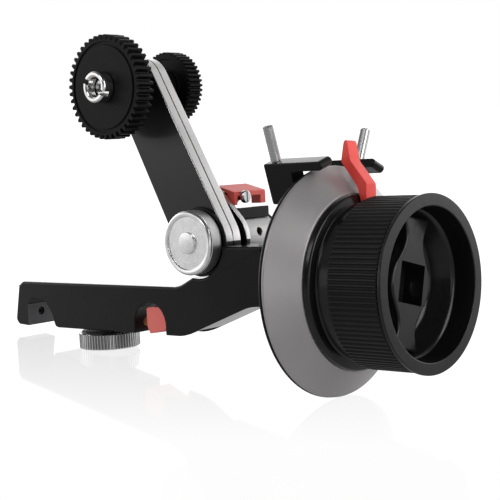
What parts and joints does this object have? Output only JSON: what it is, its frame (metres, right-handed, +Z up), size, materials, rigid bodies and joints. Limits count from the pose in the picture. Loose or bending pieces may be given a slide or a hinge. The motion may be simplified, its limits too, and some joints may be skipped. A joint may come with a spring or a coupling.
{
  "type": "geared follow focus",
  "caption": "Geared lens focus drive that clamps on two parallel rods, with a ribbed hand wheel, marking ring, hard stops and a swinging arm with gears.",
  "frame": {"origin": "midpoint between the two rod centres, in the middle of the bracket's thickness", "axes": "+X from the rods to the hand wheel, +Y along the rods away from the front gear, +Z up"},
  "size_m": [0.1871, 0.074, 0.1227],
  "materials": {
    "black_anodised": "satin black anodising",
    "black_acetal": "moulded black acetal",
    "grip_rubber": "ribbed black rubber",
    "brushed_aluminium": "brushed",
    "bright_steel": "bright turned steel",
    "bronze": "plain bronze",
    "red_anodised": "red anodising",
    "marking_white": "frosted write-on face",
    "belt_rubber": "toothed belt rubber"
  },
  "bodies": {
    "frame": {"bracket_body": "black_anodised", "hook_set_screw": "bright_steel", "latch_spring": "bright_steel", "thumb_washer": "black_anodised", "lock_stud": "bright_steel", "pivot_barrel": "brushed_aluminium", "barrel_cap": "black_anodised", "lever_block": "black_anodised", "lever_pin": "bright_steel", "rear_housing": "black_anodised", "gear_case": "black_anodised", "gear_case_cover": "black_anodised", "wheel_bearing": "bronze", "stop_carrier": "black_anodised", "disc_backing": "black_anodised", "marking_ring": "marking_white"},
    "latch": {"rod_latch": "red_anodised"},
    "thumb_screw": {"thumb_wheel": "brushed_aluminium", "thumb_stud": "bright_steel"},
    "plunger_left": {"clamp_plunger_left": "bronze"},
    "plunger_right": {"clamp_plunger_right": "bronze"},
    "release": {"release_lever": "red_anodised"},
    "knob": {"lock_knob": "brushed_aluminium"},
    "swing_arm": {"arm_front_shell": "brushed_aluminium", "arm_rear_shell": "brushed_aluminium", "arm_rear_plate": "brushed_aluminium", "arm_spacer": "black_anodised", "lock_washer": "black_anodised", "timing_belt": "belt_rubber"},
    "cross": {"cross_shaft": "bright_steel", "cross_gear": "bronze", "drive_pulley": "bright_steel"},
    "output": {"spindle": "bright_steel", "driven_pulley": "bright_steel", "front_gear": "black_acetal", "back_gear": "black_acetal", "front_gear_boss": "black_anodised", "back_gear_boss": "black_anodised", "split_collet": "brushed_aluminium", "collet_nut": "brushed_aluminium"},
    "lay": {"lay_shaft": "bright_steel", "lay_gear": "bright_steel", "lay_pinion": "bronze"},
    "hand_wheel": {"wheel_shaft": "bright_steel", "wheel_pinion": "bronze", "wheel_flange": "black_anodised", "wheel_body": "black_anodised", "grip_sleeve": "grip_rubber", "socket_boss": "black_anodised", "pointer": "red_anodised"},
    "stop_left": {"hard_stop_left": "black_anodised"},
    "stop_right": {"hard_stop_right": "black_anodised"},
    "screw_left": {"stop_screw_left": "bright_steel"},
    "screw_right": {"stop_screw_right": "bright_steel"}
  },
  "joints": [
    {"name": "hand_wheel_turn", "type": "hinge", "parent": "frame", "child": "hand_wheel", "pos_m": [0.13, 0.0048, 0.0158], "axis": [1, 0, 0], "range_deg": [-11, 11]},
    {"name": "lay_shaft_turn", "type": "hinge", "parent": "frame", "child": "lay", "pos_m": [0.07, 0.0166, 0.0158], "axis": [1, 0, 0], "range_deg": [-11.5, 11.5]},
    {"name": "cross_shaft_turn", "type": "hinge", "parent": "frame", "child": "cross", "pos_m": [0.0541, 0.01, 0.0291], "axis": [0, 1, 0], "range_deg": [-11.5, 11.5]},
    {"name": "arm_swing", "type": "hinge", "parent": "frame", "child": "swing_arm", "pos_m": [0.0541, 0, 0.0291], "axis": [0, 1, 0], "range_deg": [-52, 52]},
    {"name": "gear_spindle_turn", "type": "hinge", "parent": "swing_arm", "child": "output", "pos_m": [0.02551, 0, 0.08355], "axis": [0, 1, 0], "range_deg": [-11.5, 11.5]},
    {"name": "lock_knob_turn", "type": "hinge", "parent": "frame", "child": "knob", "pos_m": [0.0541, -0.0075, 0.0291], "axis": [0, 1, 0], "range_deg": [-90, 90]},
    {"name": "release_press", "type": "hinge", "parent": "frame", "child": "release", "pos_m": [0.056, 0.0145, 0.0433], "axis": [1, 0, 0], "range_deg": [-4.5, 0], "stiffness_Nm_per_rad": 0.005, "springref_deg": 5.73},
    {"name": "rod_latch_slide", "type": "slide", "parent": "frame", "child": "latch", "axis": [1, 0, 0], "range_m": [0, 0.0105], "stiffness_N_per_m": 150, "springref_m": -0.004, "deforming": ["latch_spring"]},
    {"name": "thumb_screw_turn", "type": "hinge", "parent": "frame", "child": "thumb_screw", "pos_m": [0.0012, 0, -0.008], "axis": [0, 0, 1], "range_deg": [0, 180]},
    {"name": "plunger_left_slide", "type": "slide", "parent": "frame", "child": "plunger_left", "axis": [-1, 0, 0], "range_m": [0, 0.0008]},
    {"name": "plunger_right_slide", "type": "slide", "parent": "frame", "child": "plunger_right", "axis": [1, 0, 0], "range_m": [0, 0.0008]},
    {"name": "stop_left_slide_round", "type": "hinge", "parent": "frame", "child": "stop_left", "pos_m": [0.0946, 0.0048, 0.0158], "axis": [1, 0, 0], "range_deg": [0, 120]},
    {"name": "stop_right_slide_round", "type": "hinge", "parent": "frame", "child": "stop_right", "pos_m": [0.0946, 0.0048, 0.0158], "axis": [1, 0, 0], "range_deg": [-120, 0]},
    {"name": "stop_screw_left_turn", "type": "hinge", "parent": "stop_left", "child": "screw_left", "pos_m": [0.0924, -0.00798, 0.05895], "axis": [0, -0.284, 0.9588], "range_deg": [-90, 90]},
    {"name": "stop_screw_right_turn", "type": "hinge", "parent": "stop_right", "child": "screw_right", "pos_m": [0.1037, 0.02317, 0.05688], "axis": [0, 0.4083, 0.9128], "range_deg": [-90, 90]}
  ],
  "couplings": [
    {"joint": "lay_shaft_turn", "follows": "hand_wheel_turn", "ratio": -1},
    {"joint": "cross_shaft_turn", "follows": "hand_wheel_turn", "ratio": 1},
    {"joint": "gear_spindle_turn", "follows": "hand_wheel_turn", "ratio": 1},
    {"joint": "plunger_left_slide", "follows": "thumb_screw_turn", "m_per_rad": 0.00025},
    {"joint": "plunger_right_slide", "follows": "thumb_screw_turn", "m_per_rad": 0.00025}
  ]
}
